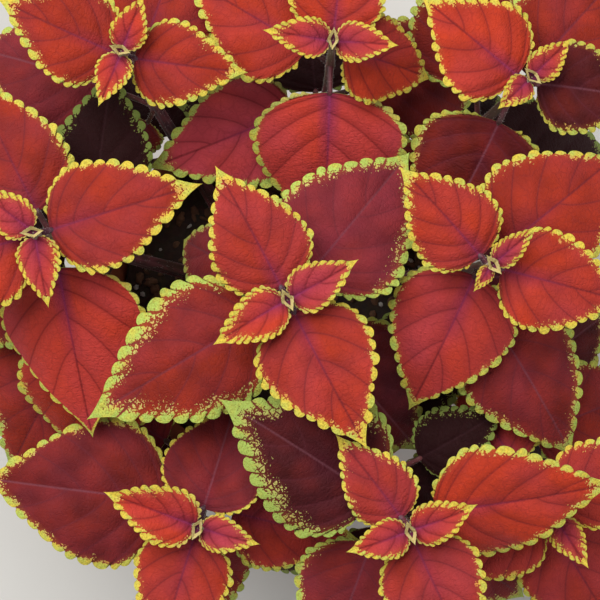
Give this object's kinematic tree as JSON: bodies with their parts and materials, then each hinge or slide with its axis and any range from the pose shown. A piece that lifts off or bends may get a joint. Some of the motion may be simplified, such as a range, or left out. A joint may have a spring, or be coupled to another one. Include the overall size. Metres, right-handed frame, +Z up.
{
  "type": "potted coleus",
  "caption": "Bushy coleus with opposite pairs of scallop-edged leaves on square stems, growing in a plain round pot.",
  "frame": {"origin": "centre of the pot's underside, on the floor", "axes": "+Z up along the pot's axis; -Y towards the bottom edge of the picture and +X towards its right edge"},
  "size_m": [0.3068, 0.3046, 0.245],
  "materials": {
    "pot_plastic": "terracotta-brown moulded plastic, satin",
    "potting_mix": "moist dark potting mix with bark and perlite",
    "foliage_centre": "brick-red leaf with a yellow to lime scalloped margin",
    "foliage_right": "brick-red leaf with a yellow to lime scalloped margin",
    "foliage_left": "brick-red leaf with a yellow to lime scalloped margin",
    "foliage_back": "brick-red to maroon leaf with a lime scalloped margin",
    "foliage_back_right": "brick-red to maroon leaf with a lime scalloped margin",
    "foliage_back_left": "brick-red to maroon leaf with a lime scalloped margin",
    "foliage_front": "brick-red leaf with a yellow to lime scalloped margin",
    "foliage_front_left": "brick-red to maroon leaf with a lime scalloped margin",
    "foliage_front_right": "brick-red to maroon leaf with a lime scalloped margin"
  },
  "bodies": {
    "root": {"pot": "pot_plastic", "potting_mix": "potting_mix", "leafy_stem_centre": "foliage_centre", "leafy_stem_right": "foliage_right", "leafy_stem_left": "foliage_left", "leafy_stem_back": "foliage_back", "leafy_stem_back_right": "foliage_back_right", "leafy_stem_back_left": "foliage_back_left", "leafy_stem_front": "foliage_front", "leafy_stem_front_left": "foliage_front_left", "leafy_stem_front_right": "foliage_front_right"}
  },
  "joints": []
}
